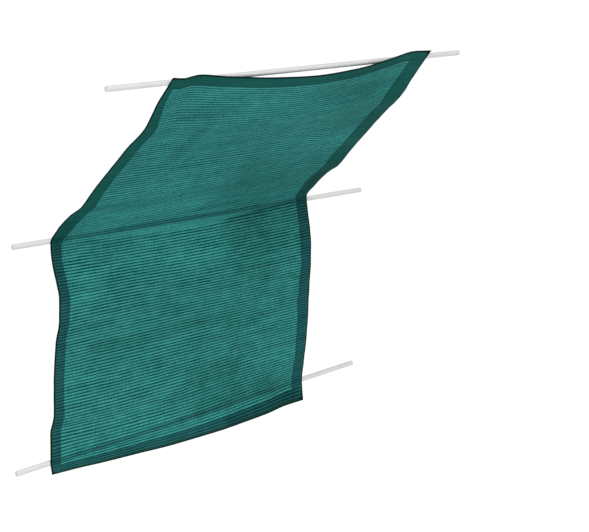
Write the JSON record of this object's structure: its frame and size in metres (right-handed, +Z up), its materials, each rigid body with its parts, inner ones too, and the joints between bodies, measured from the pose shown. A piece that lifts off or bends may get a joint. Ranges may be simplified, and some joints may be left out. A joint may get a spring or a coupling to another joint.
{
  "type": "shade cloth hung on three rods",
  "caption": "Hemmed knitted shade cloth hung on rods, its upper half sloping out over an upright lower half.",
  "frame": {"origin": "centre of the top rod's left end face, seen from the front", "axes": "+X along the top rod from left to right, +Y from the front (the side under the slope) to the back, +Z up"},
  "size_m": [2.631, 0.8056, 1.9267],
  "materials": {
    "shade_cloth": "raschel-knitted green polyethylene tape and yarn, matt with a faint sheen",
    "rod_paint": "pale grey satin paint on round tube"
  },
  "bodies": {
    "root": {"cloth": "shade_cloth", "top_rod": "rod_paint", "middle_rod": "rod_paint", "bottom_rod": "rod_paint"}
  },
  "joints": []
}
